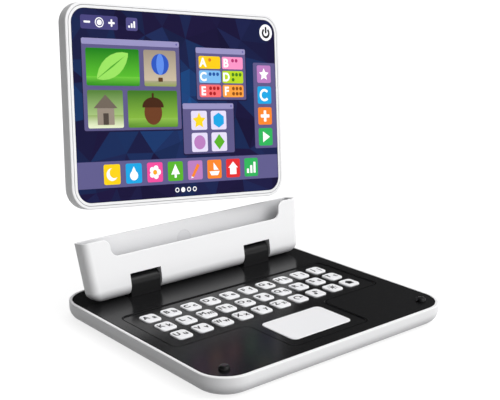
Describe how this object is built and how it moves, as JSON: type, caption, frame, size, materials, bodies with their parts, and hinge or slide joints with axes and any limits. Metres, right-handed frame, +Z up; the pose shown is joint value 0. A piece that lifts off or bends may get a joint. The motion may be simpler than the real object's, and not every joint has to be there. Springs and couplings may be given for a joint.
{
  "type": "toy laptop computer",
  "caption": "Toy laptop: a keyboard base with sprung letter keys and a touchpad, a dock on a friction hinge and a lift-out tablet with a printed screen.",
  "frame": {"origin": "on the ground under the middle of the base, at the middle rubber foot's face", "axes": "+X to the right of someone using the keyboard, +Y to the back, towards the dock, +Z up"},
  "size_m": [0.214, 0.2034, 0.2266],
  "materials": {
    "white_shell": "satin moulded white",
    "black_plate": "polished black",
    "white_key": "satin white, printed marks on the keys",
    "black_hinge": "semi-gloss black",
    "steel": "zinc plated",
    "contact": "nickel plated",
    "black_rubber": "shiny black",
    "grey_rubber": "soft grey",
    "key_rubber": "silicone grey",
    "circuit_board": "green laminate",
    "battery_cell": "wrapped cell",
    "dock_window": "frosted light grey",
    "screen_print": "printed picture under a clear sheet",
    "touch_sensor": "clear film with grey traces",
    "speaker": "black frame with a magnet"
  },
  "bodies": {
    "base": {"base_bottom_shell": "white_shell", "base_battery_door": "white_shell", "base_top_plate": "black_plate", "hinge_lug_left": "black_hinge", "hinge_lug_right": "black_hinge", "hinge_pins": "steel", "base_case_screws": "steel", "base_battery_door_screw": "steel", "base_battery_contacts": "contact", "bumpers": "black_rubber", "rubber_feet": "grey_rubber", "keypad_rubber_sheet": "key_rubber", "base_circuit_board": "circuit_board", "base_battery_cells": "battery_cell"},
    "dock": {"dock_front_shell": "white_shell", "dock_rear_shell": "white_shell", "dock_window": "dock_window", "dock_screws": "steel"},
    "tablet": {"tablet_back_shell": "white_shell", "tablet_front_bezel": "white_shell", "screen_overlay": "screen_print", "touch_sensor_sheet": "touch_sensor", "tablet_circuit_board": "circuit_board", "tablet_speaker": "speaker", "tablet_battery_cells": "battery_cell", "tablet_battery_contacts": "contact", "tablet_battery_door": "white_shell", "tablet_battery_door_screw": "steel", "tablet_case_screws": "steel"},
    "touchpad": {"touchpad_button": "white_key"},
    "key_a": {"key_a": "white_key"},
    "key_b": {"key_b": "white_key"},
    "key_c": {"key_c": "white_key"},
    "key_d": {"key_d": "white_key"},
    "key_e": {"key_e": "white_key"},
    "key_f": {"key_f": "white_key"},
    "key_g": {"key_g": "white_key"},
    "key_h": {"key_h": "white_key"},
    "key_i": {"key_i": "white_key"},
    "key_j": {"key_j": "white_key"},
    "key_k": {"key_k": "white_key"},
    "key_l": {"key_l": "white_key"},
    "key_m": {"key_m": "white_key"},
    "key_n": {"key_n": "white_key"},
    "key_o": {"key_o": "white_key"},
    "key_p": {"key_p": "white_key"},
    "key_q": {"key_q": "white_key"},
    "key_r": {"key_r": "white_key"},
    "key_s": {"key_s": "white_key"},
    "key_t": {"key_t": "white_key"},
    "key_u": {"key_u": "white_key"},
    "key_v": {"key_v": "white_key"},
    "key_w": {"key_w": "white_key"},
    "key_x": {"key_x": "white_key"},
    "key_y": {"key_y": "white_key"},
    "key_z": {"key_z": "white_key"},
    "key_again": {"key_again": "white_key"},
    "key_note": {"key_note": "white_key"},
    "key_sun": {"key_sun": "white_key"},
    "key_home": {"key_home": "white_key"}
  },
  "joints": [
    {"name": "dock_hinge", "type": "hinge", "parent": "base", "child": "dock", "pos_m": [0, 0.06625, 0.024], "axis": [1, 0, 0], "range_deg": [-25, 100]},
    {"name": "dock_tablet_lift", "type": "hinge", "parent": "dock", "child": "tablet", "pos_m": [0.3927, 0.08502, 0.13046], "axis": [0, 0.9848, -0.1736], "range_deg": [-5.9, 1.5]},
    {"name": "key_a_press", "type": "slide", "parent": "base", "child": "key_a", "axis": [0, 0, 1], "range_m": [-0.001, 0], "stiffness_N_per_m": 400, "springref_m": 0.0003},
    {"name": "key_b_press", "type": "slide", "parent": "base", "child": "key_b", "axis": [0, 0, 1], "range_m": [-0.001, 0], "stiffness_N_per_m": 400, "springref_m": 0.0003},
    {"name": "key_c_press", "type": "slide", "parent": "base", "child": "key_c", "axis": [0, 0, 1], "range_m": [-0.001, 0], "stiffness_N_per_m": 400, "springref_m": 0.0003},
    {"name": "key_d_press", "type": "slide", "parent": "base", "child": "key_d", "axis": [0, 0, 1], "range_m": [-0.001, 0], "stiffness_N_per_m": 400, "springref_m": 0.0003},
    {"name": "key_e_press", "type": "slide", "parent": "base", "child": "key_e", "axis": [0, 0, 1], "range_m": [-0.001, 0], "stiffness_N_per_m": 400, "springref_m": 0.0003},
    {"name": "key_f_press", "type": "slide", "parent": "base", "child": "key_f", "axis": [0, 0, 1], "range_m": [-0.001, 0], "stiffness_N_per_m": 400, "springref_m": 0.0003},
    {"name": "key_g_press", "type": "slide", "parent": "base", "child": "key_g", "axis": [0, 0, 1], "range_m": [-0.001, 0], "stiffness_N_per_m": 400, "springref_m": 0.0003},
    {"name": "key_h_press", "type": "slide", "parent": "base", "child": "key_h", "axis": [0, 0, 1], "range_m": [-0.001, 0], "stiffness_N_per_m": 400, "springref_m": 0.0003},
    {"name": "key_i_press", "type": "slide", "parent": "base", "child": "key_i", "axis": [0, 0, 1], "range_m": [-0.001, 0], "stiffness_N_per_m": 400, "springref_m": 0.0003},
    {"name": "key_j_press", "type": "slide", "parent": "base", "child": "key_j", "axis": [0, 0, 1], "range_m": [-0.001, 0], "stiffness_N_per_m": 400, "springref_m": 0.0003},
    {"name": "key_k_press", "type": "slide", "parent": "base", "child": "key_k", "axis": [0, 0, 1], "range_m": [-0.001, 0], "stiffness_N_per_m": 400, "springref_m": 0.0003},
    {"name": "key_l_press", "type": "slide", "parent": "base", "child": "key_l", "axis": [0, 0, 1], "range_m": [-0.001, 0], "stiffness_N_per_m": 400, "springref_m": 0.0003},
    {"name": "key_m_press", "type": "slide", "parent": "base", "child": "key_m", "axis": [0, 0, 1], "range_m": [-0.001, 0], "stiffness_N_per_m": 400, "springref_m": 0.0003},
    {"name": "key_n_press", "type": "slide", "parent": "base", "child": "key_n", "axis": [0, 0, 1], "range_m": [-0.001, 0], "stiffness_N_per_m": 400, "springref_m": 0.0003},
    {"name": "key_o_press", "type": "slide", "parent": "base", "child": "key_o", "axis": [0, 0, 1], "range_m": [-0.001, 0], "stiffness_N_per_m": 400, "springref_m": 0.0003},
    {"name": "key_p_press", "type": "slide", "parent": "base", "child": "key_p", "axis": [0, 0, 1], "range_m": [-0.001, 0], "stiffness_N_per_m": 400, "springref_m": 0.0003},
    {"name": "key_q_press", "type": "slide", "parent": "base", "child": "key_q", "axis": [0, 0, 1], "range_m": [-0.001, 0], "stiffness_N_per_m": 400, "springref_m": 0.0003},
    {"name": "key_r_press", "type": "slide", "parent": "base", "child": "key_r", "axis": [0, 0, 1], "range_m": [-0.001, 0], "stiffness_N_per_m": 400, "springref_m": 0.0003},
    {"name": "key_s_press", "type": "slide", "parent": "base", "child": "key_s", "axis": [0, 0, 1], "range_m": [-0.001, 0], "stiffness_N_per_m": 400, "springref_m": 0.0003},
    {"name": "key_t_press", "type": "slide", "parent": "base", "child": "key_t", "axis": [0, 0, 1], "range_m": [-0.001, 0], "stiffness_N_per_m": 400, "springref_m": 0.0003},
    {"name": "key_u_press", "type": "slide", "parent": "base", "child": "key_u", "axis": [0, 0, 1], "range_m": [-0.001, 0], "stiffness_N_per_m": 400, "springref_m": 0.0003},
    {"name": "key_v_press", "type": "slide", "parent": "base", "child": "key_v", "axis": [0, 0, 1], "range_m": [-0.001, 0], "stiffness_N_per_m": 400, "springref_m": 0.0003},
    {"name": "key_w_press", "type": "slide", "parent": "base", "child": "key_w", "axis": [0, 0, 1], "range_m": [-0.001, 0], "stiffness_N_per_m": 400, "springref_m": 0.0003},
    {"name": "key_x_press", "type": "slide", "parent": "base", "child": "key_x", "axis": [0, 0, 1], "range_m": [-0.001, 0], "stiffness_N_per_m": 400, "springref_m": 0.0003},
    {"name": "key_y_press", "type": "slide", "parent": "base", "child": "key_y", "axis": [0, 0, 1], "range_m": [-0.001, 0], "stiffness_N_per_m": 400, "springref_m": 0.0003},
    {"name": "key_z_press", "type": "slide", "parent": "base", "child": "key_z", "axis": [0, 0, 1], "range_m": [-0.001, 0], "stiffness_N_per_m": 400, "springref_m": 0.0003},
    {"name": "key_again_press", "type": "slide", "parent": "base", "child": "key_again", "axis": [0, 0, 1], "range_m": [-0.001, 0], "stiffness_N_per_m": 400, "springref_m": 0.0003},
    {"name": "key_note_press", "type": "slide", "parent": "base", "child": "key_note", "axis": [0, 0, 1], "range_m": [-0.001, 0], "stiffness_N_per_m": 400, "springref_m": 0.0003},
    {"name": "key_sun_press", "type": "slide", "parent": "base", "child": "key_sun", "axis": [0, 0, 1], "range_m": [-0.001, 0], "stiffness_N_per_m": 400, "springref_m": 0.0003},
    {"name": "key_home_press", "type": "slide", "parent": "base", "child": "key_home", "axis": [0, 0, 1], "range_m": [-0.001, 0], "stiffness_N_per_m": 400, "springref_m": 0.0003},
    {"name": "touchpad_press", "type": "slide", "parent": "base", "child": "touchpad", "axis": [0, 0, 1], "range_m": [-0.0005, 0], "stiffness_N_per_m": 900, "springref_m": 0.0002}
  ]
}
